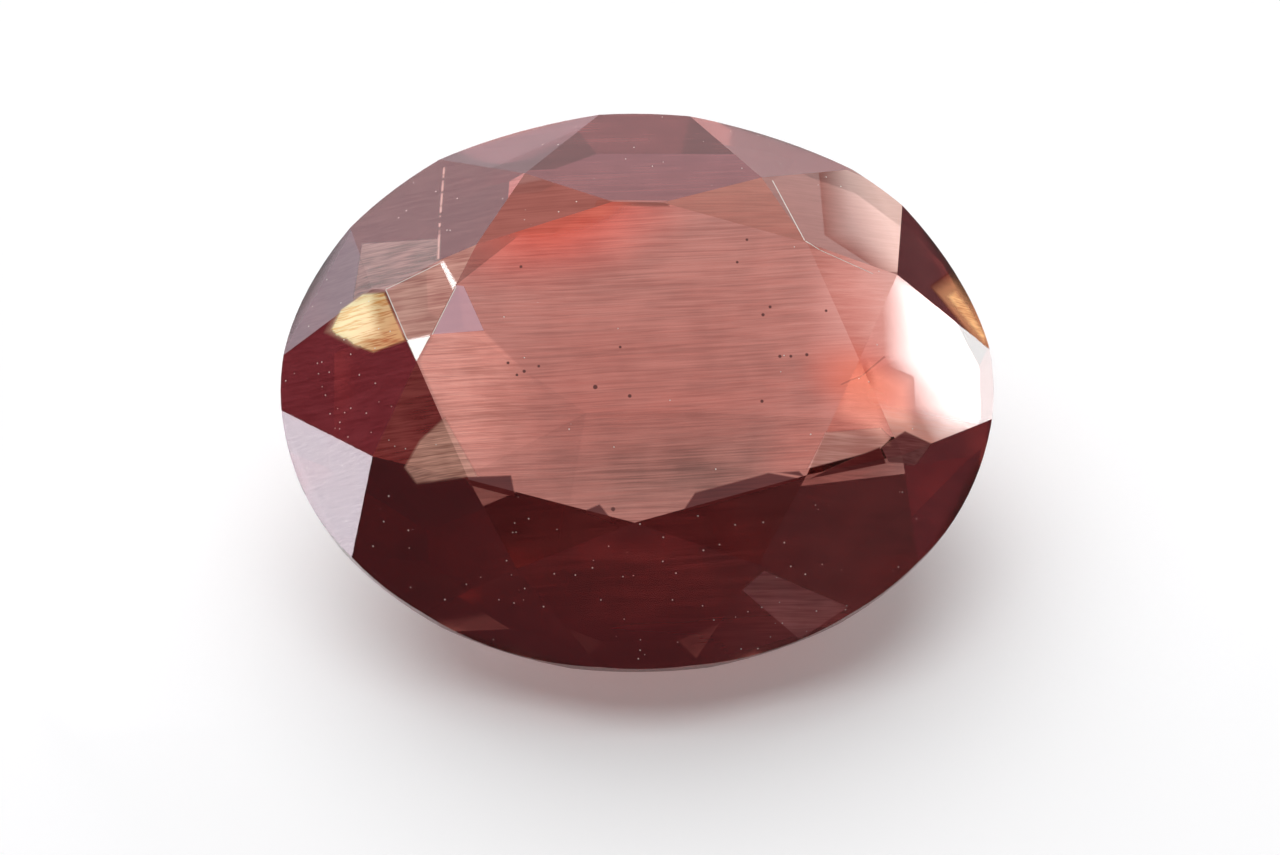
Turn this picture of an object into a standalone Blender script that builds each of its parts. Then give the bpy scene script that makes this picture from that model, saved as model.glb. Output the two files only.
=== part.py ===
"""A cut sunstone: one oval faceted gemstone, lying on a facet of its pavilion.

The stone is made the way a cutter makes it. An oval blank is ground flat, one facet at a time: the table,
then the mains, breaks and stars of the crown, then the two tiers of the pavilion. Lengths are millimetres in
the stone's own frame (X along the stone, Y across it, Z out of the table, zero in the middle of the girdle)
until the finished stone is scaled to metres and laid down.
"""

import math

import bmesh
import bpy
from mathutils import Matrix, Vector

MM = 0.001

# Outline and heights, in millimetres.
LENGTH = 10.0
WIDTH = 8.0
GIRDLE = 0.26
TABLE_HEIGHT = 1.65
STAR_TIP_HEIGHT = 1.19
PAVILION_DEPTH = 3.20

# Pavilion angles, in degrees from the plane of the girdle. The stone rests on the front facet of the lower
# tier, so that facet's angle is also the angle at which the table leans.
LOWER_TIER_SIDE = 28.0
LOWER_TIER_END = 33.5
UPPER_TIER_SIDE = 53.0
UPPER_TIER_END = 40.0
LOWER_TIER_FACETS = 8
UPPER_TIER_FACETS = 16
# The right-hand end was left thick, and light passes straight through it. Some facets there, counted from
# that end, are flatter in the lower tier and steeper in the upper one.
THICK_END_LOWER = {0: 23.0, 1: 26.0}
THICK_END_UPPER = {0: 68.0, 1: 66.0, 2: 64.0, 3: 60.0, 15: 62.0}
# The two long facets of the lower tier meet in a short keel, and the others run to its ends.
KEEL_LENGTH = 1.4

# The crown's mains, counter-clockwise from the right-hand end: where each one's short edge on the girdle
# starts and ends, as an angle round the oval in degrees, and the corner that it gives the table, in
# millimetres. The stone was cut by eye, so the facets are a little uneven.
MAINS = (
    (-7.2, 7.2, (3.00, 0.00)),
    (40.8, 51.9, (2.32, 1.67)),
    (80.8, 95.5, (-0.04, 2.27)),
    (123.4, 140.2, (-2.24, 1.68)),
    (172.7, 184.1, (-3.07, 0.03)),
    (216.7, 232.5, (-2.37, -1.63)),
    (263.3, 277.8, (-0.12, -2.25)),
    (306.0, 320.6, (2.24, -1.61)),
)
TOP_MAIN = 2
SPLIT_MAIN = 3

# The top main was cut a little deep, so the table has a short edge there in place of a corner.
TOP_EDGE_HALF = 0.34
# One main was ground twice, and its two halves face slightly different ways. They meet in a ridge from the
# girdle to this point on the star beside it. The break and the star on that side stop short of each other.
SPLIT_FACES = (127.5, 130.5)
SPLIT_RIDGE_END = (-2.71, 1.45)
SHORT_BREAK_TIP_HEIGHT = 1.12
SHORT_STAR_TIP_HEIGHT = 1.27

# The rough blank, and how near, in millimetres, a corner may lie to a cut before it counts as on it or as one
# with its neighbour.
BLANK_SEGMENTS = 128
BLANK_HEIGHT = 12.0
ON_PLANE = 0.002
WELD = 0.012


def on_girdle(angle, height):
    """The point at an angle round the oval girdle, in degrees, at a height."""
    turn = math.radians(angle)
    return Vector((LENGTH / 2 * math.cos(turn), WIDTH / 2 * math.sin(turn), height))


def outward(angle):
    """The level direction that leaves the oval squarely at an angle round it."""
    turn = math.radians(angle)
    return Vector((math.cos(turn) / LENGTH, math.sin(turn) / WIDTH, 0.0)).normalized()


def plane_through(a, b, c):
    """The plane through three points, with its normal away from the middle of the stone."""
    normal = (b - a).cross(c - a).normalized()
    if normal.dot(a) < 0.0:
        normal.negate()
    return a, normal


def plane_facing(a, b, azimuth):
    """The plane through two points whose normal, seen from above, points along an azimuth in degrees."""
    turn = math.radians(azimuth)
    face = Vector((math.cos(turn), math.sin(turn), 0.0))
    across = Vector((-face.y, face.x, 0.0))
    return plane_through(a, b, a + across)


def pavilion_plane(point, angle, slope):
    """The plane of a pavilion facet that faces an angle round the oval at a slope from the girdle."""
    tilt = math.radians(slope)
    return point, outward(angle) * math.sin(tilt) - Vector((0.0, 0.0, math.cos(tilt)))


def height_on(plane, x, y):
    """The point of a plane above or below a level position."""
    origin, normal = plane
    drop = normal.x * (x - origin.x) + normal.y * (y - origin.y)
    return Vector((x, y, origin.z - drop / normal.z))


def meet(first, second, height):
    """The point at a height where two planes cross."""
    (p, n), (q, m) = first, second
    rows = Matrix(((n.x, n.y), (m.x, m.y)))
    sums = Vector((n.dot(p) - n.z * height, m.dot(q) - m.z * height))
    spot = rows.inverted() @ sums
    return Vector((spot.x, spot.y, height))


def level(corner, height):
    """A corner given in plan, put at a height."""
    return Vector((corner[0], corner[1], height))


def grind(stone, plane):
    """Cut one facet: take away what lies beyond the plane and close the cut."""
    origin, normal = plane
    cut = bmesh.ops.bisect_plane(
        stone,
        geom=stone.verts[:] + stone.edges[:] + stone.faces[:],
        dist=ON_PLANE,
        plane_co=origin,
        plane_no=normal,
        clear_outer=True,
    )
    edges = [item for item in cut["geom_cut"] if isinstance(item, bmesh.types.BMEdge)]
    rim = [edge for edge in edges if edge.is_boundary]
    if rim:
        bmesh.ops.holes_fill(stone, edges=rim, sides=0)


def oval_blank():
    """The rough blank: an upright oval cylinder, taller than the stone."""
    stone = bmesh.new()
    bmesh.ops.create_cone(
        stone, cap_ends=True, segments=BLANK_SEGMENTS, radius1=0.5, radius2=0.5, depth=BLANK_HEIGHT
    )
    bmesh.ops.scale(stone, vec=(LENGTH, WIDTH, 1.0), verts=stone.verts)
    return stone


def crown_planes():
    """The crown's facets, in the order in which they are ground."""
    top = GIRDLE / 2
    count = len(MAINS)
    starts = [on_girdle(start, top) for start, end, corner in MAINS]
    ends = [on_girdle(end, top) for start, end, corner in MAINS]
    corners = [level(corner, TABLE_HEIGHT) for start, end, corner in MAINS]
    mains = [plane_through(starts[k], ends[k], corners[k]) for k in range(count)]

    # The split main: both halves start from its first corner on the girdle.
    ridge_start = starts[SPLIT_MAIN]
    first_half = plane_facing(ridge_start, corners[SPLIT_MAIN], SPLIT_FACES[0])
    ridge_end = height_on(first_half, *SPLIT_RIDGE_END)
    second_half = plane_facing(ridge_start, ridge_end, SPLIT_FACES[1])

    # Two neighbouring mains cross in a ridge, and the break and the star between them meet on it.
    towards_next = list(mains)
    from_last = list(mains)
    towards_next[SPLIT_MAIN] = second_half
    from_last[SPLIT_MAIN] = first_half

    def tip(k, height):
        return meet(towards_next[k], from_last[(k + 1) % count], height)

    star_tips = [tip(k, STAR_TIP_HEIGHT) for k in range(count)]
    star_tips[SPLIT_MAIN] = tip(SPLIT_MAIN, SHORT_STAR_TIP_HEIGHT)
    break_tips = list(star_tips)
    break_tips[SPLIT_MAIN] = tip(SPLIT_MAIN, SHORT_BREAK_TIP_HEIGHT)
    breaks = [plane_through(ends[k], starts[(k + 1) % count], break_tips[k]) for k in range(count)]

    # Each star runs from one table corner to the next, and down to the tip between two mains.
    leave = list(corners)
    arrive = list(corners)
    top_edge = Vector((TOP_EDGE_HALF, 0.0, 0.0))
    arrive[TOP_MAIN] = corners[TOP_MAIN] + top_edge
    leave[TOP_MAIN] = corners[TOP_MAIN] - top_edge
    stars = [plane_through(leave[k], arrive[(k + 1) % count], star_tips[k]) for k in range(count)]

    table = (level((0.0, 0.0), TABLE_HEIGHT), Vector((0.0, 0.0, 1.0)))
    mains[SPLIT_MAIN:SPLIT_MAIN + 1] = [first_half, second_half]
    return [table] + mains + breaks + stars


def between_end_and_side(angle, end, side):
    """A slope that changes smoothly from the ends of the oval to its sides."""
    return end + (side - end) * math.sin(math.radians(angle)) ** 2


def pavilion_planes():
    """The pavilion's facets: a steep tier at the girdle, and a flat one that runs to the keel."""
    planes = []
    for k in range(UPPER_TIER_FACETS):
        angle = 360.0 * k / UPPER_TIER_FACETS
        slope = THICK_END_UPPER.get(k, between_end_and_side(angle, UPPER_TIER_END, UPPER_TIER_SIDE))
        planes.append(pavilion_plane(on_girdle(angle, -GIRDLE / 2), angle, slope))
    for k in range(LOWER_TIER_FACETS):
        angle = 360.0 * k / LOWER_TIER_FACETS
        slope = THICK_END_LOWER.get(k, between_end_and_side(angle, LOWER_TIER_END, LOWER_TIER_SIDE))
        end = math.copysign(KEEL_LENGTH / 2, outward(angle).x)
        planes.append(pavilion_plane(Vector((end, 0.0, -PAVILION_DEPTH)), angle, slope))
    return planes


def cut_stone():
    """The finished stone's mesh, in metres, still with its table level."""
    stone = oval_blank()
    for plane in crown_planes() + pavilion_planes():
        grind(stone, plane)
    bmesh.ops.remove_doubles(stone, verts=stone.verts, dist=WELD)
    bmesh.ops.dissolve_degenerate(stone, edges=stone.edges, dist=ON_PLANE)
    bmesh.ops.recalc_face_normals(stone, faces=stone.faces)
    bmesh.ops.scale(stone, vec=(MM, MM, MM), verts=stone.verts)
    mesh = bpy.data.meshes.new("sunstone")
    stone.to_mesh(mesh)
    stone.free()
    return mesh


def sunstone_material():
    """Clear red-brown feldspar."""
    material = bpy.data.materials.new("sunstone")
    material.use_nodes = True
    shader = material.node_tree.nodes["Principled BSDF"]
    shader.inputs["Base Color"].default_value = (0.62, 0.20, 0.16, 1.0)
    shader.inputs["Metallic"].default_value = 0.0
    shader.inputs["Roughness"].default_value = 0.02
    shader.inputs["IOR"].default_value = 1.55
    shader.inputs["Transmission Weight"].default_value = 1.0
    material.diffuse_color = (0.62, 0.20, 0.16, 1.0)
    return material


def lay_down(stone):
    """Lean the stone onto the front facet of its lower tier, with the middle of its base at the origin."""
    lean = Matrix.Rotation(math.radians(LOWER_TIER_SIDE), 3, "X")
    corners = [lean @ vertex.co for vertex in stone.data.vertices]
    low = [min(corner[axis] for corner in corners) for axis in range(3)]
    high = [max(corner[axis] for corner in corners) for axis in range(3)]
    stone.rotation_euler.x = math.radians(LOWER_TIER_SIDE)
    stone.location = (-(low[0] + high[0]) / 2, -(low[1] + high[1]) / 2, -low[2])


def main():
    for old in list(bpy.data.objects):
        bpy.data.objects.remove(old)
    stone = bpy.data.objects.new("sunstone", cut_stone())
    stone.data.materials.append(sunstone_material())
    collection = bpy.data.collections.new("sunstone")
    bpy.context.scene.collection.children.link(collection)
    collection.objects.link(stone)
    lay_down(stone)


main()
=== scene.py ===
"""The looks of the cut sunstone.

It has a clear red-brown body with fine streaks inside, and lies on a pale floor in soft light.
"""

import math

import bpy
from mathutils import Matrix, Vector

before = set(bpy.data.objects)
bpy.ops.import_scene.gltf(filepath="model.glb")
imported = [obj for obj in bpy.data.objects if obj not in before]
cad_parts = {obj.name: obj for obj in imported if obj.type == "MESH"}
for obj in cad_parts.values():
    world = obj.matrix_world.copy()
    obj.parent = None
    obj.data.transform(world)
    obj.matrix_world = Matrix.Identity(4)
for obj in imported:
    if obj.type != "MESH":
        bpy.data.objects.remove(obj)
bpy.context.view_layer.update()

MM = 0.001

# How the stone lies, in degrees and millimetres. It leans on a facet of its pavilion.
LEAN = 28.0
GIRDLE_MIDDLE = Vector((0.0, -0.006, 2.825))
GIRDLE = 0.26
TABLE_HEIGHT = 1.65

# The camera, in millimetres and degrees.
EYE = Vector((-2.0, -44.735, 53.78))
LOOK_DOWN = 49.145
LOOK_RIGHT = 2.62
ROLL = 1.473
SENSOR = 36.0
LENS = 135.88

# Which output of a node is meant, where a node has several.
OBJECT_PLACE = 3
TRUE_NORMAL = 3
VECTOR_NUMBER = 1
MIXED_COLOUR = 2
ATTRIBUTE_NUMBER = 2

# The clear body.
INDEX_OF_REFRACTION = 1.55
BODY_COLOUR = (0.716, 0.166, 0.078, 1.0)
BODY_DENSITY = 330.0
POLISHED = 0.012
PAVILION_ROUGHNESS = 0.10

# The streaks: the angle at which they run, in degrees from the stone's length, and how far they sway.
STREAK_ANGLE = 2.5
STREAK_SWAY = 0.06

# The facets of the crown, as directions in the stone's own frame.
TABLE = (0.0, 0.0, 1.0)
TOP_MAIN = (0.017, 0.666, 0.745)
TOP_LEFT_MAIN = (-0.453, 0.530, 0.717)
TOP_RIGHT_MAIN = (0.413, 0.541, 0.733)
LEFT_MAIN = (-0.623, 0.022, 0.782)
RIGHT_MAIN = (0.613, 0.0, 0.790)
BACK_LEFT_BREAK = (-0.215, 0.761, 0.612)
BACK_RIGHT_BREAK = (0.260, 0.742, 0.617)
TOP_LEFT_BREAK = (-0.689, 0.375, 0.620)
LOW_LEFT_BREAK = (-0.726, -0.337, 0.600)
TOP_RIGHT_BREAK = (0.699, 0.389, 0.600)
LOW_RIGHT_BREAK = (0.686, -0.369, 0.627)
BACK_LEFT_STAR = (-0.140, 0.440, 0.887)
BACK_RIGHT_STAR = (0.134, 0.453, 0.881)
TOP_LEFT_STAR = (-0.349, 0.176, 0.920)
LOW_LEFT_STAR = (-0.371, -0.156, 0.915)
LOW_RIGHT_STAR = (0.358, -0.169, 0.918)

# Corners of the crown that the small lights are aimed from, in millimetres.
TABLE_RIGHT_CORNER = (3.0, 0.0, TABLE_HEIGHT)
TABLE_LEFT_CORNER = (-3.07, 0.03, TABLE_HEIGHT)
TABLE_TOP_RIGHT_CORNER = (2.32, 1.67, TABLE_HEIGHT)
LOW_LEFT_BREAK_CORNER = (-4.29, -0.96, 0.59)
TOP_LEFT_MAIN_CORNER = (-3.32, 2.72, 0.23)
TOP_RIGHT_BREAK_CORNER = (4.16, 1.96, 0.12)
LOW_RIGHT_BREAK_CORNER = (4.47, -1.00, 0.37)

# Painted shade on single facets: how the light that passes each facet is coloured, in dark streaks and in
# light ones.
PAINTED_FACET_SHADES = (
    (TOP_MAIN, (0.13, 0.06, 0.12), (0.20, 0.10, 0.17)),
    (BACK_LEFT_STAR, (0.13, 0.03, 0.02), (0.24, 0.06, 0.04)),
    (BACK_RIGHT_STAR, (0.19, 0.09, 0.06), (0.33, 0.17, 0.12)),
    (BACK_LEFT_BREAK, (0.12, 0.09, 0.20), (0.21, 0.17, 0.34)),
    (TOP_RIGHT_MAIN, (0.06, 0.035, 0.03), (0.16, 0.10, 0.085)),
)
WINDOW_TINT = ((0.240, 0.172, 0.160), (0.50, 0.40, 0.37))
# Painted light: a paler salmon light in the left of the window.
SALMON_TINT = ((0.36, 0.24, 0.20), (1.0, 0.87, 0.77))
# Painted light: the right main passes nearly white light, for the bright white right end.
RIGHT_MAIN_TINT = ((0.95, 0.93, 0.93), (1.0, 1.0, 1.0))
# Painted reflection: the pale beige light on the upper right main.
BEIGE_TINT = ((0.30, 0.22, 0.20), (1.0, 0.98, 0.96))
PAVILION_TINT = ((0.80, 0.50, 0.46), (0.95, 0.74, 0.70))
# Painted light: the right end of the pavilion passes nearly white light.
RIGHT_END_TINT = (1.0, 0.97, 0.96)
# Painted light: a coral glint on the right main.
CORAL_GLINT_TINT = (1.0, 0.26, 0.13)
SPECK_TINT = (0.02, 0.005, 0.005)

# Painted light and shade: zones of the window that the table and its neighbours make, paler, redder or
# darker. Each has middle, size, angle, dark and light streaks.
PAINTED_WINDOW_ZONES = (
    ((0.55, -1.62), (3.1, 1.12), 4.0, (0.072, 0.070, 0.063), (0.31, 0.315, 0.285)),
    ((-1.1, 2.1), (2.3, 1.2), 14.0, (0.55, 0.045, 0.025), (1.0, 0.13, 0.07)),
    ((2.5, -1.2), (1.1, 0.7), 15.0, (0.35, 0.20, 0.17), (0.70, 0.42, 0.36)),
    ((3.3, 0.8), (1.4, 1.4), 30.0, (0.85, 0.66, 0.62), (1.0, 0.94, 0.91)),
)

# Haze inside the stone near a facet, with that facet's painted light and shade: its colour in dark and light
# streaks, and how much light it stops.
HAZE_AND_PAINTED_SHADING = (
    (TOP_LEFT_MAIN, (0.50, 0.09, 0.13), (0.64, 0.17, 0.20), 0.27),
    (TOP_LEFT_BREAK, (0.62, 0.36, 0.45), (0.75, 0.46, 0.55), 0.32),
    (LEFT_MAIN, (0.27, 0.030, 0.040), (0.38, 0.055, 0.07), 0.60),
    (TOP_LEFT_STAR, (0.48, 0.20, 0.17), (0.82, 0.46, 0.38), 0.84),
    (LOW_LEFT_STAR, (0.28, 0.035, 0.035), (0.48, 0.10, 0.09), 0.60),
    (BACK_LEFT_STAR, (0.36, 0.12, 0.10), (0.46, 0.16, 0.135), 0.82),
    (BACK_LEFT_BREAK, (0.24, 0.07, 0.09), (0.32, 0.10, 0.13), 0.48),
    (BACK_RIGHT_BREAK, (0.46, 0.09, 0.10), (0.56, 0.13, 0.14), 0.42),
    (TOP_MAIN, (0.185, 0.046, 0.051), (0.26, 0.073, 0.078), 0.62),
    (TOP_RIGHT_MAIN, (0.36, 0.14, 0.12), (0.44, 0.18, 0.155), 0.66),
    (LOW_RIGHT_BREAK, (0.30, 0.04, 0.05), (0.42, 0.06, 0.07), 0.50),
    (TOP_RIGHT_BREAK, (0.26, 0.03, 0.04), (0.38, 0.06, 0.07), 0.35),
)
FAINT_HAZE = ((0.30, 0.06, 0.05), (0.42, 0.12, 0.10))
# Haze and painted shade of the dark front, with a painted red glow in its middle.
FRONT_HAZE_AND_SHADE = ((0.13, 0.010, 0.014), (0.44, 0.046, 0.045))
FRONT_RIGHT_HAZE_AND_SHADE = ((0.21, 0.034, 0.036), (0.30, 0.055, 0.055))
# Painted gold glint of schiller, in dark and light streaks.
GOLD_DARK = ((0.70, 0.21, 0.09), (0.80, 0.44, 0.13))
GOLD_LIGHT = ((1.0, 0.54, 0.26), (1.0, 0.86, 0.50))
LAVENDER = (0.85, 0.55, 0.68)
RIDGE_PINK = (1.0, 0.52, 0.47)
# White of dust, of worn edges and of painted glints.
DUST_WEAR_AND_GLINT_WHITE = (1.0, 0.95, 0.88)

# Dark pinpoints in the table: place in the stone's plan and size, in millimetres.
PINPOINTS = (
    (-1.63, 1.36, 0.020), (-1.82, 0.00, 0.020), (-1.60, -0.12, 0.022),
    (-1.40, -0.05, 0.018), (-1.70, -0.17, 0.018), (1.69, 0.65, 0.022),
    (1.79, 0.76, 0.020), (1.91, 0.06, 0.022), (2.06, 0.06, 0.020),
    (2.28, 0.08, 0.022), (1.49, 1.72, 0.018), (1.35, 1.40, 0.018),
    (2.56, 0.70, 0.018), (-0.28, 0.21, 0.018), (-0.16, -0.48, 0.024),
    (-0.63, -0.35, 0.030), (-0.41, -2.06, 0.028), (1.65, -0.57, 0.022),
)
PINPOINT_SPREAD = 1.35

# What shows on the crown, as corners in the stone's plan, in millimetres, counter-clockwise. Most of it is
# painted light and shade: glints, reflections, and pale and dark patches of the window.
GOLD_GLINT_OUTLINE = (
    (-4.31, 0.72), (-3.92, 0.40), (-3.68, 0.26), (-3.19, 0.34), (-3.50, 1.13), (-3.83, 1.18), (-4.15, 1.02),
)
LAVENDER_OUTLINE = ((-2.86, 0.40), (-2.13, 0.45), (-2.41, 1.10), (-2.53, 1.12))
TIP_OUTLINE = ((-3.08, 0.02), (-2.86, 0.40), (-3.22, 0.36))
GLINT_OUTLINE = ((-2.74, 1.45), (-2.57, 1.04), (-2.51, 1.12), (-2.69, 1.48))
BEIGE_OUTLINE = ((1.89, 2.72), (2.29, 1.70), (3.25, 1.30), (4.30, 1.50), (4.00, 2.80), (2.50, 3.30))
SALMON_OUTLINE = ((-3.07, 0.03), (-2.30, -1.75), (-0.90, -1.60), (-1.22, -0.46), (-2.13, 0.47), (-2.86, 0.45))
LEFT_PALE_OUTLINE = ((-2.68, -0.72), (-3.05, -1.02), (-3.28, -1.38), (-3.10, -1.62), (-2.20, -1.62))
TOP_LEFT_PALE_OUTLINE = ((-2.72, 1.90), (-3.86, 2.06), (-3.98, 1.09), (-3.55, 1.07), (-2.74, 1.46))
LOW_RIGHT_PALE_OUTLINE = ((2.22, -1.55), (3.28, -1.21), (3.46, -1.02), (3.30, -0.88), (2.50, -1.00))
LOW_RIGHT_DARK_OUTLINE = ((3.28, -1.16), (3.39, -1.37), (3.80, -1.35), (4.06, -1.00), (3.64, -0.88))
FRONT_PATCH_OUTLINE = ((1.35, -3.06), (2.20, -3.60), (2.89, -3.17), (1.66, -2.81))
ORANGE_OUTLINE = ((4.26, 1.22), (4.90, 0.46), (5.02, 0.72), (4.78, 1.18), (4.50, 1.48))
TABLE_NOTCH = ((-0.62, 2.20), (0.45, 2.19), (0.40, 2.31), (-0.58, 2.33))
# Painted shade: dark steps along the jagged lower edge of the window.
DARK_STEPS = (
    ((-2.45, -1.58), (-2.37, -1.72), (-1.72, -1.90), (-1.78, -1.56)),
    ((-0.86, -2.09), (-0.34, -2.30), (-0.59, -1.97)),
    ((0.49, -2.14), (2.26, -1.66), (1.72, -1.56), (0.70, -1.83)),
    ((1.72, -1.56), (2.26, -1.66), (2.14, -1.54)),
    ((2.10, -1.72), (3.39, -1.38), (3.28, -1.14), (2.85, -1.34)),
)

# Lines on the crown, from end to end, in the stone's plan. A worn line is a worn edge with a painted white
# glint, and has its own half width.
WORN_GLINT_LINES = (
    ((-3.50, 1.15), (-3.20, 0.36), 0.014),
    ((-2.52, 1.09), (-2.86, 0.40), 0.016),
    ((-3.50, 1.15), (-2.74, 1.46), 0.010),
    ((1.89, 2.72), (2.29, 1.70), 0.014),
    ((2.29, 1.70), (2.50, 1.58), 0.014),
    ((2.50, 1.58), (3.25, 1.30), 0.011),
)
RIDGE_LINE = ((-2.69, 3.20), (-2.75, 2.19), (-2.77, 1.51))
RIDGE_WIDTH = 0.036
DARK_CRACK = ((2.73, -0.35), (3.04, -0.21), (3.38, 0.12))
CRACK_WIDTH = 0.018

# Where the small lights show as reflections, as corners in the stone's plan.
RIGHT_GLARE = ((3.85, 0.15), (3.75, 1.10), (5.20, 0.90), (5.30, -0.55), (4.45, -0.50))
RIGHT_GLARE_RIM = ((3.36, 0.10), (3.35, 1.40), (5.60, 1.30), (5.70, -1.10), (4.05, -1.00))
CORAL_ON_MAIN = ((3.25, -0.20), (3.20, -0.75), (3.62, -0.72), (3.62, -0.28))
CORAL_ON_STAR = ((2.85, -0.22), (2.80, -0.66), (3.25, -0.86), (3.20, -0.24))
GOLD_GLARE = ((-4.18, 0.74), (-3.92, 0.55), (-3.72, 0.62), (-3.80, 0.98), (-4.05, 0.96))
BEIGE_GLARE = ((3.00, 2.00), (3.60, 1.60), (4.40, 1.60), (4.00, 2.80), (3.00, 3.10))

WHITE_LIGHT = (1.0, 1.0, 1.0)
CORAL_LIGHT_COLOUR = (1.0, 0.46, 0.34)
GOLD_LIGHT_COLOUR = (1.0, 0.82, 0.55)
BEIGE_LIGHT_COLOUR = (1.0, 0.95, 0.9)
LAVENDER_LIGHT_COLOUR = (1.0, 0.88, 0.97)
ORANGE_LIGHT_COLOUR = (1.0, 0.50, 0.24)


class Value:
    """A socket that works in Python's expressions. Each operation adds one Math node."""

    def __init__(self, shader, socket):
        self.shader = shader
        self.socket = socket

    def __add__(self, other):
        return self.shader.math("ADD", self, other)

    def __sub__(self, other):
        return self.shader.math("SUBTRACT", self, other)

    def __rsub__(self, other):
        return self.shader.math("SUBTRACT", other, self)

    def __mul__(self, other):
        return self.shader.math("MULTIPLY", self, other)

    def __gt__(self, other):
        return self.shader.math("GREATER_THAN", self, other)

    def __lt__(self, other):
        return self.shader.math("LESS_THAN", self, other)

    def __abs__(self):
        return self.shader.math("ABSOLUTE", self)

    __radd__ = __add__
    __rmul__ = __mul__


class Shader:
    """The nodes of one material."""

    def __init__(self, tree):
        self.tree = tree
        tree.nodes.clear()

    def node(self, kind, settings=None, inputs=None, output=0):
        made = self.tree.nodes.new(kind)
        for name, setting in (settings or {}).items():
            setattr(made, name, setting)
        for name, given in (inputs or {}).items():
            if isinstance(given, Value):
                self.tree.links.new(given.socket, made.inputs[name])
            else:
                made.inputs[name].default_value = given
        return Value(self, made.outputs[output]) if len(made.outputs) else made

    def math(self, operation, *values):
        return self.node("ShaderNodeMath", {"operation": operation}, dict(enumerate(values)))

    def vector_math(self, operation, *values):
        """A Vector Math node that gives a number."""
        given = dict(enumerate(values))
        return self.node("ShaderNodeVectorMath", {"operation": operation}, given, VECTOR_NUMBER)

    def most(self, *values):
        """The largest of several values."""
        top = values[0]
        for value in values[1:]:
            top = self.math("MAXIMUM", top, value)
        return top

    def smooth(self, value, start, end):
        """0 before start, 1 after end, and a soft step between them."""
        return self.node(
            "ShaderNodeMapRange",
            {"interpolation_type": "SMOOTHSTEP"},
            {"Value": value, "From Min": start, "From Max": end},
        )

    def fit(self, value, start, end, low, high):
        """A straight ramp from low at start to high at end."""
        return self.node(
            "ShaderNodeMapRange",
            None,
            {"Value": value, "From Min": start, "From Max": end, "To Min": low, "To Max": high},
        )

    def point(self, x, y, z):
        return self.node("ShaderNodeCombineXYZ", None, {"X": x, "Y": y, "Z": z})

    def noise(self, point, scale=1.0, detail=2.0, roughness=0.5):
        return self.node(
            "ShaderNodeTexNoise",
            None,
            {"Vector": point, "Scale": scale, "Detail": detail, "Roughness": roughness},
        )

    def blend(self, factor, first, second):
        """The first colour where the factor is 0, and the second where it is 1."""
        colours = [given if isinstance(given, Value) else (*given, 1.0) for given in (first, second)]
        return self.node(
            "ShaderNodeMix", {"data_type": "RGBA"}, {0: factor, 6: colours[0], 7: colours[1]}, MIXED_COLOUR
        )


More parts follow.
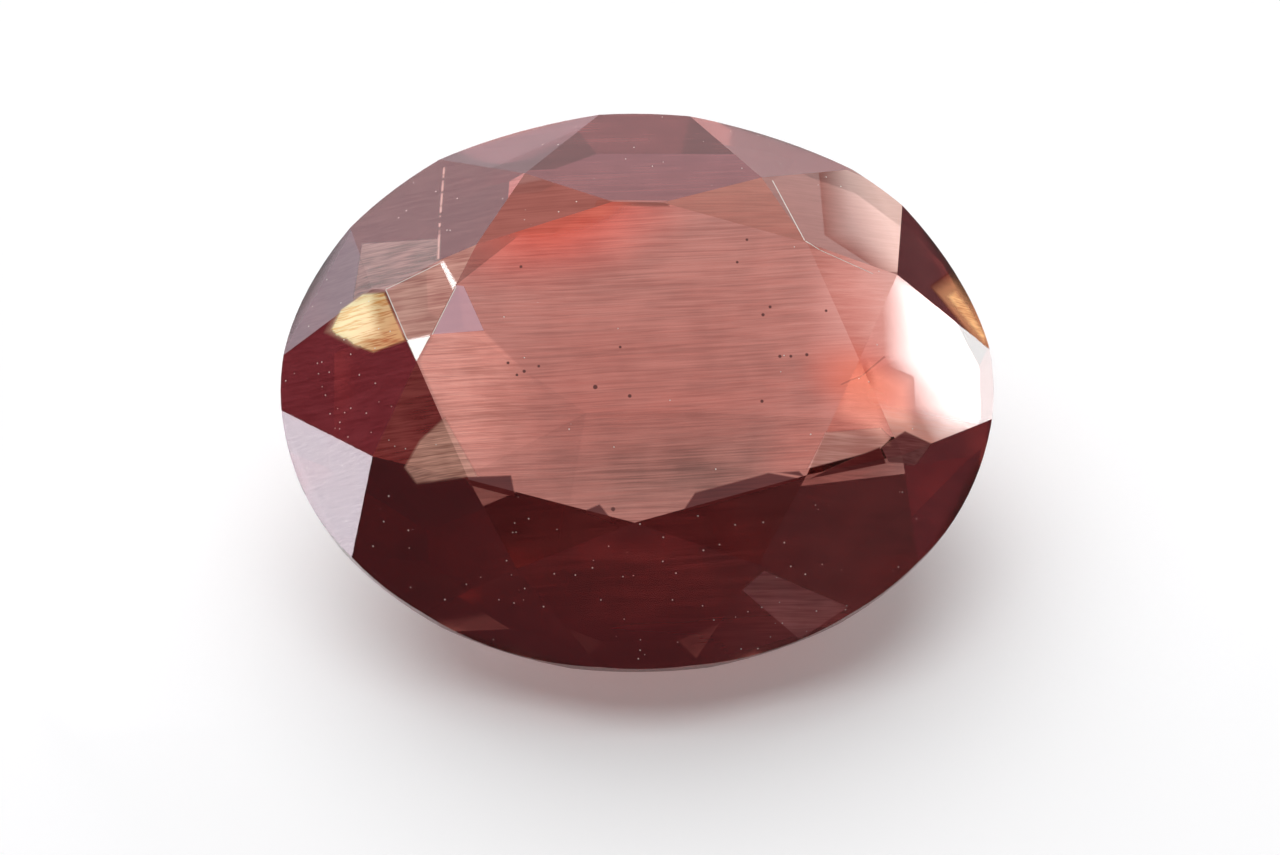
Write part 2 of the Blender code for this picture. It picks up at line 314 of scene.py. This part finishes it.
class Stone(Shader):
    """A material drawn in the stone's own frame, in millimetres: x along it, y across, z up."""

    def __init__(self, tree):
        super().__init__(tree)
        turn = Matrix.Rotation(math.radians(-LEAN), 3, "X")
        self.place = self.node(
            "ShaderNodeMapping",
            {"vector_type": "POINT"},
            {
                "Vector": self.node("ShaderNodeTexCoord", None, None, OBJECT_PLACE),
                "Location": -(turn @ GIRDLE_MIDDLE),
                "Rotation": (math.radians(-LEAN), 0.0, 0.0),
                "Scale": (1.0 / MM, 1.0 / MM, 1.0 / MM),
            },
        )
        self.facing = self.node("ShaderNodeNewGeometry", None, None, TRUE_NORMAL)
        self.x = self.node("ShaderNodeSeparateXYZ", None, {"Vector": self.place})
        self.y = Value(self, self.x.socket.node.outputs[1])
        self.z = Value(self, self.x.socket.node.outputs[2])
        self.plan = self.point(self.x, self.y, 1.0)

    def facing_along(self, direction):
        """How squarely the surface faces along a direction of the stone's own frame, or against it."""
        turned = Matrix.Rotation(math.radians(LEAN), 3, "X") @ Vector(direction).normalized()
        return abs(self.vector_math("DOT_PRODUCT", self.facing, turned))

    def facet(self, normal):
        """1 on the facet that faces along a direction of the stone's own frame."""
        return self.smooth(self.facing_along(normal), 0.985, 0.994)

    def along(self, angle):
        """The distance along a line through the middle, at an angle in degrees from x."""
        turn = math.radians(angle)
        return self.x * math.cos(turn) + self.y * math.sin(turn)

    def across(self, angle):
        """The distance square to that line."""
        turn = math.radians(angle)
        return self.y * math.cos(turn) - self.x * math.sin(turn)

    def edge(self, weights):
        """A sum of x, y and 1, each times its weight."""
        return self.vector_math("DOT_PRODUCT", self.plan, weights)

    def blob(self, middle, size, angle=0.0, soft=1.0):
        """1 in the middle of an oval patch, seen from above, fading to 0 at its rim."""
        cos, sin = math.cos(math.radians(angle)), math.sin(math.radians(angle))
        x, y = middle
        u = self.edge((cos / size[0], sin / size[0], -(x * cos + y * sin) / size[0]))
        v = self.edge((-sin / size[1], cos / size[1], (x * sin - y * cos) / size[1]))
        return self.smooth(self.vector_math("LENGTH", self.point(u, v, 0.0)), 1.0, 1.0 - soft)

    def dot(self, x, y, size):
        """1 on a small round spot, seen from above."""
        off = self.vector_math("DISTANCE", self.plan, (x, y, 1.0))
        return self.smooth(off, size, size * 0.6)

    def polygon(self, corners, soft=0.03, wobble=0.0):
        """1 inside a convex outline, seen from above. Its first side may wobble."""
        inside = None
        for (ax, ay), (bx, by) in zip(corners, corners[1:] + corners[:1]):
            length = math.hypot(bx - ax, by - ay)
            nx, ny = -(by - ay) / length, (bx - ax) / length
            depth = self.edge((nx, ny, -(ax * nx + ay * ny)))
            inside = depth + wobble if inside is None else self.math("MINIMUM", inside, depth)
        return self.smooth(inside, 0.0, soft)

    def polygons(self, outlines, soft=0.03):
        return self.most(*[self.polygon(outline, soft) for outline in outlines])

    def stroke(self, start, end, width):
        """1 on a straight line between two points, seen from above."""
        (ax, ay), (bx, by) = start, end
        dx, dy = bx - ax, by - ay
        length = math.hypot(dx, dy)
        sx, sy = dy / length * width, -dx / length * width
        corners = ((ax + sx, ay + sy), (bx + sx, by + sy), (bx - sx, by - sy), (ax - sx, ay - sy))
        return self.polygon(corners, width)

    def line(self, points, width):
        """1 on a line through several points, seen from above."""
        return self.most(*[self.stroke(start, end, width) for start, end in zip(points, points[1:])])


class Sunstone(Stone):
    """The sunstone: its streaks, the light that passes it and the light that it stops, and light and shade
    painted on its crown.
    """

    def __init__(self, tree):
        super().__init__(tree)
        self.crown = self.smooth(self.z, -GIRDLE / 2, GIRDLE / 2)
        self.draw_streaks()
        # A painted pale reflection on the upper right main, stronger towards the right end.
        self.beige = self.facet(TOP_RIGHT_MAIN) * self.polygon(BEIGE_OUTLINE, 0.02)
        self.beige_level = self.smooth(self.x + self.y * 0.25, 3.4, 4.2)

    def draw_streaks(self):
        """Fine streaks that lie in parallel sheets through the whole stone."""
        u = self.along(STREAK_ANGLE)
        v = self.across(STREAK_ANGLE)
        sway = self.noise(self.point(u * 0.6, v * 0.8, self.z), 1.0, 1.0)
        v = v + (sway - 0.5) * STREAK_SWAY
        self.fine = self.noise(self.point(u * 0.65, v * 20.0, self.z * 3.0), 1.0, 2.0, 0.65)
        self.hair = self.noise(self.point(u * 1.1 + 7.0, v * 50.0, self.z * 6.0), 1.0, 1.0, 0.5)
        bands = self.noise(self.point(u * 0.5, v * 2.4, self.z * 0.8 + 3.0), 1.0, 2.0, 0.5)
        blotches = self.noise(self.place, 1.9, 2.0)
        mixed = self.fine * 0.38 + self.hair * 0.25 + bands * 0.17 + blotches * 0.20
        self.streaks = self.smooth(mixed, 0.37, 0.63)

    def streaked(self, dark, light):
        return self.blend(self.streaks, dark, light)

    def passing(self):
        """The tint of the light that passes, with painted light and shade: paler, redder and darker zones of
        the window, darker facets, a coral glint and a near-white right end.
        """
        body = self.streaked(*WINDOW_TINT)
        # Painted light and shade in zones of the window.
        for place, size, angle, dark, light in PAINTED_WINDOW_ZONES:
            body = self.blend(self.blob(place, size, angle), body, self.streaked(dark, light))
        # A paler salmon light in the left of the window, painted light.
        salmon = self.polygon(SALMON_OUTLINE, 0.06) * self.smooth(self.y, -2.0, -0.8)
        salmon = salmon * self.smooth(self.x, -1.1, -2.3)
        body = self.blend(salmon, body, self.streaked(*SALMON_TINT))
        # Single facets of the crown get their painted shade.
        for normal, dark, light in PAINTED_FACET_SHADES:
            body = self.blend(self.facet(normal), body, self.streaked(dark, light))
        # The painted pale reflection on the upper right main.
        body = self.blend(self.beige, body, self.blend(self.beige_level, *BEIGE_TINT))
        # Painted light: the right main lets nearly white light pass.
        body = self.blend(self.facet(RIGHT_MAIN), body, self.streaked(*RIGHT_MAIN_TINT))
        # A painted coral glint on the right main.
        body = self.blend(self.blob((3.12, -0.30), (1.10, 0.75), -22.0), body, CORAL_GLINT_TINT)
        pins = self.most(*[self.dot(x, y, size * PINPOINT_SPREAD) for x, y, size in PINPOINTS])
        crack = self.line(DARK_CRACK, CRACK_WIDTH)
        body = self.blend(self.most(pins, crack * 0.6), body, SPECK_TINT)
        below = self.streaked(*PAVILION_TINT)
        # Painted light: the right end of the pavilion lets nearly white light pass.
        below = self.blend(self.smooth(self.x, 2.4, 3.4), below, RIGHT_END_TINT)
        return self.blend(self.crown, below, body)

    def patches(self):
        """Patches that stop light, most of them painted light and shade: pale reflections, glints, a red glow
        and the dark steps of the window. Each gives where, the colour in dark and light streaks, and how much
        it stops.
        """
        # Painted light on the lower right main, a painted red band and red glow at the back of the table, and
        # a painted orange glint on the upper right break.
        low_right_main = self.facet(RIGHT_MAIN) * self.smooth(self.y, -0.45, -0.75)
        red_band = self.facet(TABLE) * self.blob((-1.0, 2.07), (1.1, 0.30), 14.0, 0.5)
        red_glow = self.facet(TABLE) * self.blob((-1.3, 1.85), (1.7, 0.75), 16.0)
        orange = self.facet(TOP_RIGHT_BREAK) * self.polygon(ORANGE_OUTLINE, 0.14)
        return (
            (self.beige * self.beige_level, (0.86, 0.48, 0.40), (0.95, 0.55, 0.47), 0.72),
            (self.polygon(TOP_LEFT_PALE_OUTLINE), (0.34, 0.17, 0.16), (0.88, 0.45, 0.42), 0.46),
            (self.polygon(LEFT_PALE_OUTLINE, 0.05), (0.44, 0.19, 0.14), (1.0, 0.52, 0.40), 0.78),
            (self.polygon(FRONT_PATCH_OUTLINE, 0.02), (0.30, 0.075, 0.075), (0.46, 0.14, 0.14), 0.56),
            (self.blob((3.28, -0.48), (0.80, 0.55), -22.0), (0.95, 0.20, 0.14), (1.0, 0.30, 0.22), 0.40),
            (low_right_main, (0.96, 0.40, 0.32), (1.0, 0.50, 0.42), 0.90),
            (self.polygon(LOW_RIGHT_PALE_OUTLINE), (0.74, 0.28, 0.23), (1.0, 0.50, 0.42), 0.90),
            (self.polygon(LOW_RIGHT_DARK_OUTLINE), (0.18, 0.040, 0.040), (0.28, 0.085, 0.080), 0.94),
            (self.polygons(DARK_STEPS), (0.12, 0.014, 0.014), (0.18, 0.026, 0.024), 1.0),
            (self.polygon(TABLE_NOTCH), (0.34, 0.09, 0.07), (0.44, 0.13, 0.10), 0.95),
            (red_band, (0.85, 0.13, 0.08), (1.0, 0.24, 0.16), 0.92),
            (red_glow, (0.70, 0.07, 0.04), (0.98, 0.17, 0.11), 0.36),
            (orange, (0.50, 0.16, 0.06), (1.0, 0.60, 0.28), 0.97),
        )

    def front_haze_and_shade(self):
        """The dark front: haze and painted shade, with a painted red glow in its middle, browner to the
        right.
        """
        glow = self.blob((0.3, -2.6), (3.6, 1.3)) * (0.35 + self.streaks * 0.65)
        right = self.smooth(self.x, 0.3, 2.8)
        return self.blend(right, self.blend(glow, *FRONT_HAZE_AND_SHADE), self.streaked(*FRONT_RIGHT_HAZE_AND_SHADE))

    def gold_glint_colour(self):
        """A painted gold glint of schiller, with darker ripples, brighter to the upper left."""
        ripple = self.smooth(self.fine * 0.6 + self.hair * 0.4, 0.40, 0.56)
        glow = self.smooth((self.x + 3.75) * -0.8 + (self.y - 0.7) * 0.5, -0.45, 0.35)
        return self.blend(ripple, self.blend(glow, *GOLD_DARK), self.blend(glow, *GOLD_LIGHT))

    def dust(self):
        """Small specks of dust, mostly towards the front, the left and the back."""
        motes = self.node("ShaderNodeTexVoronoi", None, {"Vector": self.place, "Scale": 7.5})
        gate = self.noise(self.place, 2.9, 1.0)
        front, left = self.smooth(self.y, -1.6, -2.6), self.smooth(self.x, -2.9, -3.6)
        dusty = self.most(front, left, self.smooth(self.y, 2.0, 3.0) * 0.5)
        return self.smooth(motes, 0.090, 0.050) * (gate > 0.63 - dusty * 0.18)

    def stopped(self):
        """The colour of what stops light, and how much of the light it stops: haze and dust, with painted
        light and shade.
        """
        colour = self.streaked(*FAINT_HAZE)
        # The front facets: haze and painted shade.
        front = self.smooth(self.facing_along((0.0, 1.0, 0.0)), 0.38, 0.44)
        front = front * self.smooth(self.y, -0.9, -1.3)
        colour = self.blend(front, colour, self.front_haze_and_shade())
        cover = self.most(self.streaks * 0.03, front * self.fit(self.y, -3.0, -3.5, 0.56, 0.80))
        # Each facet's haze, with its painted light and shade.
        haze_and_shading = tuple((self.facet(normal), dark, light, amount) for normal, dark, light, amount in HAZE_AND_PAINTED_SHADING)
        for here, dark, light, amount in haze_and_shading + self.patches():
            colour = self.blend(here, colour, self.streaked(dark, light))
            cover = self.most(cover, here * amount)
        cover = cover * self.crown

        waver = (self.noise(self.place, 9.0, 2.0) - 0.5) * 0.08
        # A painted gold glint on the left main.
        gold = self.polygon(GOLD_GLINT_OUTLINE, 0.05, waver) * self.crown
        lavender = self.polygon(LAVENDER_OUTLINE, 0.02) * self.crown
        broken = self.smooth(self.noise(self.point(self.x, self.y * 4.0, 0.0), 2.0, 1.0), 0.25, 0.52)
        ridge = self.line(RIDGE_LINE, RIDGE_WIDTH) * broken * self.crown
        # Painted white highlights on the upper left star: a tip by the table's left corner and a thin glint.
        white = self.polygons((TIP_OUTLINE, GLINT_OUTLINE), 0.02)
        # Worn edges, with a painted white glint.
        worn = self.most(*[self.stroke(start, end, width) for start, end, width in WORN_GLINT_LINES])
        bright = self.most(white, worn) * self.crown
        dust = self.dust()
        colour = self.blend(gold, colour, self.gold_glint_colour())
        colour = self.blend(lavender, colour, LAVENDER)
        colour = self.blend(ridge, colour, RIDGE_PINK)
        # Dust, worn edges and painted highlights, in white.
        colour = self.blend(self.most(bright, dust), colour, DUST_WEAR_AND_GLINT_WHITE)
        cover = self.most(
            cover, gold * 0.95, lavender * 0.55, ridge * 0.7, bright * 0.9, dust * self.crown * 0.9
        )
        return colour, cover


def sunstone_material():
    material = bpy.data.materials.new("sunstone_clear")
    material.use_nodes = True
    s = Sunstone(material.node_tree)
    haze = s.noise(s.place, 1.3, 3.0, 0.6)
    rough = s.fit(s.crown, 0.0, 1.0, PAVILION_ROUGHNESS, POLISHED) + s.smooth(haze, 0.5, 0.8) * 0.02
    clear = s.node("ShaderNodeBsdfPrincipled", None, {
        "Base Color": s.passing(),
        "Roughness": rough,
        "IOR": INDEX_OF_REFRACTION,
        "Transmission Weight": 1.0,
    })
    colour, cover = s.stopped()
    stops = s.node("ShaderNodeBsdfPrincipled", None, {
        "Base Color": colour,
        "Roughness": rough,
        "IOR": INDEX_OF_REFRACTION,
    })
    surface = s.node("ShaderNodeMixShader", None, {0: cover, 1: clear, 2: stops})
    inside = s.node("ShaderNodeVolumeAbsorption", None, {"Color": BODY_COLOUR, "Density": BODY_DENSITY})
    s.node("ShaderNodeOutputMaterial", None, {"Surface": surface, "Volume": inside})
    return material


def floor_material():
    material = bpy.data.materials.new("pale_floor")
    material.use_nodes = True
    s = Shader(material.node_tree)
    surface = s.node("ShaderNodeBsdfPrincipled", None, {
        "Base Color": (0.86, 0.86, 0.87, 1.0),
        "Roughness": 0.6,
        "Specular IOR Level": 0.1,
        "Emission Color": (1.0, 0.99, 0.985, 1.0),
        "Emission Strength": 0.19,
    })
    s.node("ShaderNodeOutputMaterial", None, {"Surface": surface})
    return material


def card_material(name, colour):
    """A plain glow, as strong as the card's own level says."""
    material = bpy.data.materials.new(name)
    material.use_nodes = True
    s = Shader(material.node_tree)
    strength = s.node("ShaderNodeAttribute", {"attribute_name": "level"}, None, ATTRIBUTE_NUMBER)
    light = s.node("ShaderNodeEmission", None, {"Color": (*colour, 1.0), "Strength": strength})
    s.node("ShaderNodeOutputMaterial", None, {"Surface": light})
    return material


def card(name, corners, glow, seen_by, colour=WHITE_LIGHT, faded=0):
    """A flat card of the studio, in millimetres. Only the named kinds of ray see it.

    The last corners, as many as faded says, don't glow, and the glow fades out towards them.
    """
    count = len(corners) - faded
    faces = [tuple(range(count))]
    if faded:
        faces += [(k, (k + 1) % count, count + (k + 1) % count, count + k) for k in range(count)]
    mesh = bpy.data.meshes.new(name)
    mesh.from_pydata([Vector(corner) * MM for corner in corners], [], faces)
    level = mesh.attributes.new("level", "FLOAT", "POINT")
    for at in range(len(corners)):
        level.data[at].value = glow if at < count else 0.0
    mesh.materials.append(card_material(name, colour))
    made = bpy.data.objects.new(name, mesh)
    bpy.context.scene.collection.objects.link(made)
    made.visible_camera = False
    made.visible_shadow = False
    made.visible_volume_scatter = False
    made.visible_diffuse = "diffuse" in seen_by
    made.visible_glossy = "glossy" in seen_by
    made.visible_transmission = "transmission" in seen_by


def mirror_card(name, normal, on_facet, outline, glow, colour=WHITE_LIGHT, distance=5.0, rim=None, edge=0.0):
    """A card that a facet mirrors to the camera, so that it fills an outline of the stone's plan there.

    Its light fades out from the outline to the rim, or to an outline that is larger by the edge.
    """
    lean = Matrix.Rotation(math.radians(LEAN), 3, "X")
    face = Vector(normal).normalized()
    xs, ys = zip(*outline)
    middle = Vector((sum(xs) / len(outline), sum(ys) / len(outline)))
    rings = [outline]
    if rim:
        rings.append(rim)
    elif edge:
        rings.append([middle + (Vector(corner) - middle) * (1.0 + edge) for corner in outline])
    corners = []
    for ring in rings:
        for x, y in ring:
            rise = -(face.x * (x - on_facet[0]) + face.y * (y - on_facet[1])) / face.z
            spot = lean @ Vector((x, y, on_facet[2] + rise)) + GIRDLE_MIDDLE
            look = (spot - EYE).normalized()
            corners.append(spot + look.reflect(lean @ face) * distance)
    card(name, corners, glow, {"glossy"}, colour, len(outline) * (len(rings) - 1))


def facing_card(name, azimuth, elevation, distance, size, glow, seen_by):
    """A card that faces the stone from a direction: azimuth 0 is straight behind it and 90 to its right."""
    az, el = math.radians(azimuth), math.radians(elevation)
    out = Vector((math.sin(az) * math.cos(el), math.cos(az) * math.cos(el), math.sin(el)))
    side = Vector((math.cos(az), -math.sin(az), 0.0))
    rise = side.cross(out)
    middle = GIRDLE_MIDDLE + out * distance
    w, h = size[0] / 2, size[1] / 2
    corners = [middle + side * a * w + rise * b * h for a, b in ((-1, -1), (1, -1), (1, 1), (-1, 1))]
    card(name, corners, glow, seen_by)


def around(x, y, reach):
    """A square outline round a point of the plan."""
    return [(x - reach, y - reach), (x + reach, y - reach), (x + reach, y + reach), (x - reach, y + reach)]


def make_camera():
    lens = bpy.data.cameras.new("camera")
    lens.sensor_width = SENSOR
    lens.lens = LENS
    lens.clip_start = 1.0 * MM
    lens.clip_end = 100.0
    camera = bpy.data.objects.new("camera", lens)
    turn = Matrix.Rotation(math.radians(-LOOK_RIGHT), 4, "Z")
    tip = Matrix.Rotation(math.radians(90.0 - LOOK_DOWN), 4, "X")
    roll = Matrix.Rotation(math.radians(ROLL), 4, "Z")
    camera.matrix_world = Matrix.Translation(EYE * MM) @ turn @ tip @ roll
    bpy.context.scene.collection.objects.link(camera)
    bpy.context.scene.camera = camera


def make_floor():
    bpy.ops.mesh.primitive_plane_add(size=6.0, location=(0.0, 0.0, -0.03 * MM))
    floor = bpy.context.object
    floor.name = "floor"
    floor.data.materials.append(floor_material())


def make_world():
    world = bpy.data.worlds.new("studio")
    world.use_nodes = True
    s = Shader(world.node_tree)
    surface = s.node("ShaderNodeBackground", None, {"Color": (0.9, 0.92, 0.95, 1.0), "Strength": 0.05})
    s.node("ShaderNodeOutputWorld", None, {"Surface": surface})
    bpy.context.scene.world = world


def make_top_light():
    """A soft light from above that only matt surfaces see."""
    sun = bpy.data.lights.new("soft_top_light", "SUN")
    sun.angle = math.radians(70.0)
    sun.energy = 2.6
    lamp = bpy.data.objects.new("soft_top_light", sun)
    lamp.rotation_euler = (math.radians(-22.0), math.radians(-10.0), 0.0)
    lamp.visible_glossy = False
    lamp.visible_transmission = False
    bpy.context.scene.collection.objects.link(lamp)


def make_large_cards():
    """The bright pad under and behind the stone, the dark to its front, and the boxes of light round it."""
    edge = -3.7
    low = -0.01
    far = 90.0
    back = [(-far, edge, low), (far, edge, low), (far, far, low), (-far, far, low)]
    front = [(-far, -far, low), (far, -far, low), (far, edge, low), (-far, edge, low)]
    card("light_pad", back, 1.25, {"transmission"})
    card("dark_front", front, 0.0, {"transmission"})
    card("dim_front", front, 0.12, {"glossy"})
    facing_card("back_box", 0.0, 22.0, 120.0, (260.0, 120.0), 1.1, {"diffuse", "glossy", "transmission"})
    facing_card("top_card", 172.0, 75.0, 100.0, (60.0, 60.0), 0.6, {"glossy"})


def make_small_cards():
    """Cards that single facets mirror to the camera."""
    mirror_card("right_light", RIGHT_MAIN, TABLE_RIGHT_CORNER, RIGHT_GLARE, 14.0, rim=RIGHT_GLARE_RIM)
    for name, normal, outline in (
        ("coral_main_light", RIGHT_MAIN, CORAL_ON_MAIN),
        ("coral_star_light", LOW_RIGHT_STAR, CORAL_ON_STAR),
    ):
        mirror_card(
            name, normal, TABLE_RIGHT_CORNER, outline, 5.5, CORAL_LIGHT_COLOUR, distance=4.0, edge=0.9
        )
    for name, outline in (("tip_light", TIP_OUTLINE), ("glint_light", GLINT_OUTLINE)):
        mirror_card(name, TOP_LEFT_STAR, TABLE_LEFT_CORNER, outline, 9.0, edge=0.1)
    mirror_card("gold_light", LEFT_MAIN, TABLE_LEFT_CORNER, GOLD_GLARE, 7.0, GOLD_LIGHT_COLOUR, edge=0.9)
    mirror_card(
        "beige_light", TOP_RIGHT_MAIN, TABLE_TOP_RIGHT_CORNER, BEIGE_GLARE, 2.3, BEIGE_LIGHT_COLOUR, edge=0.7
    )
    mirror_card(
        "left_light", LOW_LEFT_BREAK, LOW_LEFT_BREAK_CORNER, around(-4.0, -1.2, 1.6), 9.4,
        LAVENDER_LIGHT_COLOUR,
    )
    mirror_card("back_left_light", TOP_LEFT_MAIN, TOP_LEFT_MAIN_CORNER, around(-3.0, 2.0, 2.0), 1.7)
    mirror_card("right_shade", TOP_RIGHT_BREAK, TOP_RIGHT_BREAK_CORNER, around(4.2, 1.6, 1.7), 0.15)
    mirror_card(
        "orange_light", TOP_RIGHT_BREAK, TOP_RIGHT_BREAK_CORNER, ORANGE_OUTLINE, 2.6, ORANGE_LIGHT_COLOUR,
        distance=4.5, edge=0.4,
    )
    mirror_card("low_right_shade", LOW_RIGHT_BREAK, LOW_RIGHT_BREAK_CORNER, around(4.2, -1.4, 1.7), 0.1)


def dress_stone():
    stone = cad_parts["sunstone"]
    stone.data.materials.clear()
    stone.data.materials.append(sunstone_material())
    flat = stone.modifiers.new("whole_facets", "DECIMATE")
    flat.decimate_type = "DISSOLVE"
    flat.angle_limit = math.radians(0.3)
    worn = stone.modifiers.new("worn_edges", "BEVEL")
    worn.width = 0.008 * MM
    worn.segments = 1
    worn.limit_method = "ANGLE"
    worn.angle_limit = math.radians(6.0)


def main():
    make_camera()
    make_floor()
    make_world()
    make_top_light()
    make_large_cards()
    make_small_cards()
    dress_stone()
    scene = bpy.context.scene
    scene.view_settings.view_transform = "Standard"
    scene.cycles.max_bounces = 14
    scene.cycles.glossy_bounces = 8
    scene.cycles.transmission_bounces = 14
    scene.cycles.blur_glossy = 0.3


main()
